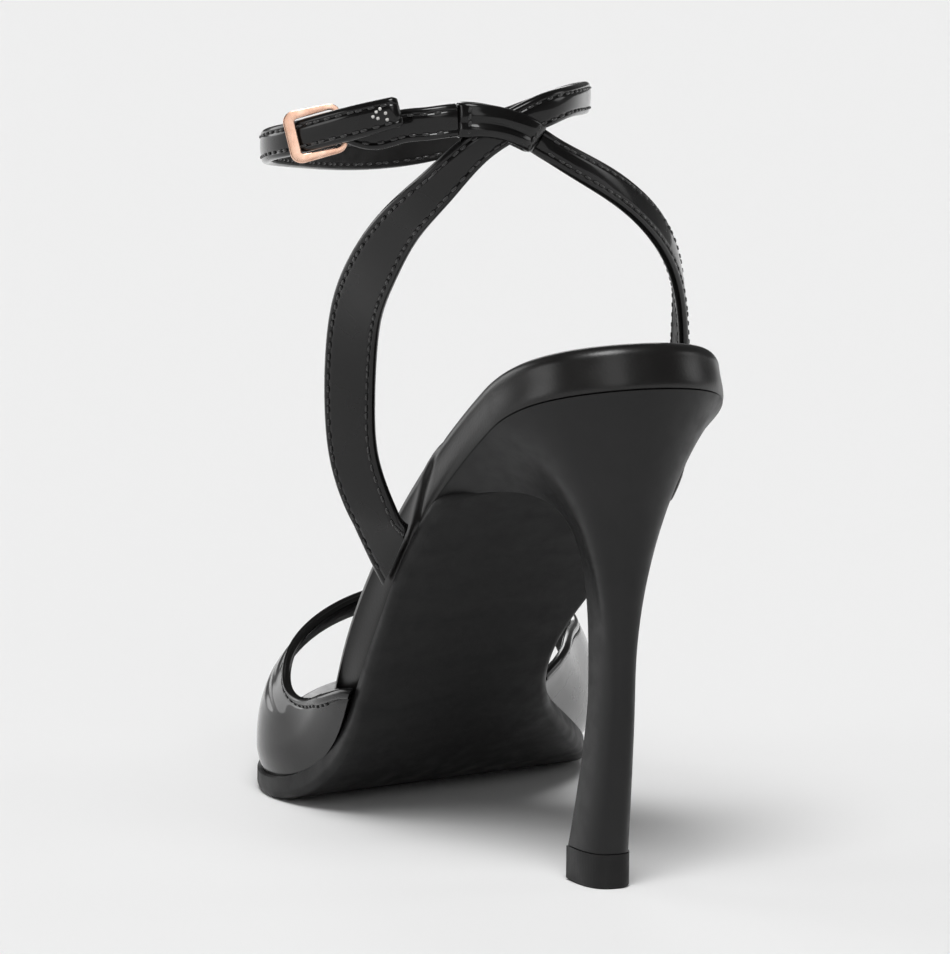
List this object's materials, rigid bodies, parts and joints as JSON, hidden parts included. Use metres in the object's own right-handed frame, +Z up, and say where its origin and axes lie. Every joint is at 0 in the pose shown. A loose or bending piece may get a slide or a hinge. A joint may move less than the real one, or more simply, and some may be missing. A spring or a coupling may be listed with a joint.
{
  "type": "heeled sandal",
  "caption": "Left open-toed sandal on a slender high heel, with a glossy toe band and narrow straps that cross behind the ankle and close with a buckle on the outer side.",
  "frame": {"origin": "middle of the heel tip's underside, on the floor", "axes": "+Y from heel to toe, +X towards the inner side of the foot, +Z up"},
  "size_m": [0.1096, 0.2043, 0.1496],
  "materials": {
    "insole_leather": "satin, padded",
    "sole_rubber": "matte",
    "matte_coating": "matte",
    "patent_leather": "patent gloss",
    "rose_metal": "polished, rose tone"
  },
  "bodies": {
    "root": {"insole": "insole_leather", "outsole": "sole_rubber", "heel": "matte_coating", "heel_tip": "sole_rubber", "vamp": "patent_leather", "lateral_strap": "patent_leather", "medial_strap": "patent_leather", "sleeve": "patent_leather", "buckle_strap": "patent_leather", "buckle": "rose_metal"}
  },
  "joints": []
}
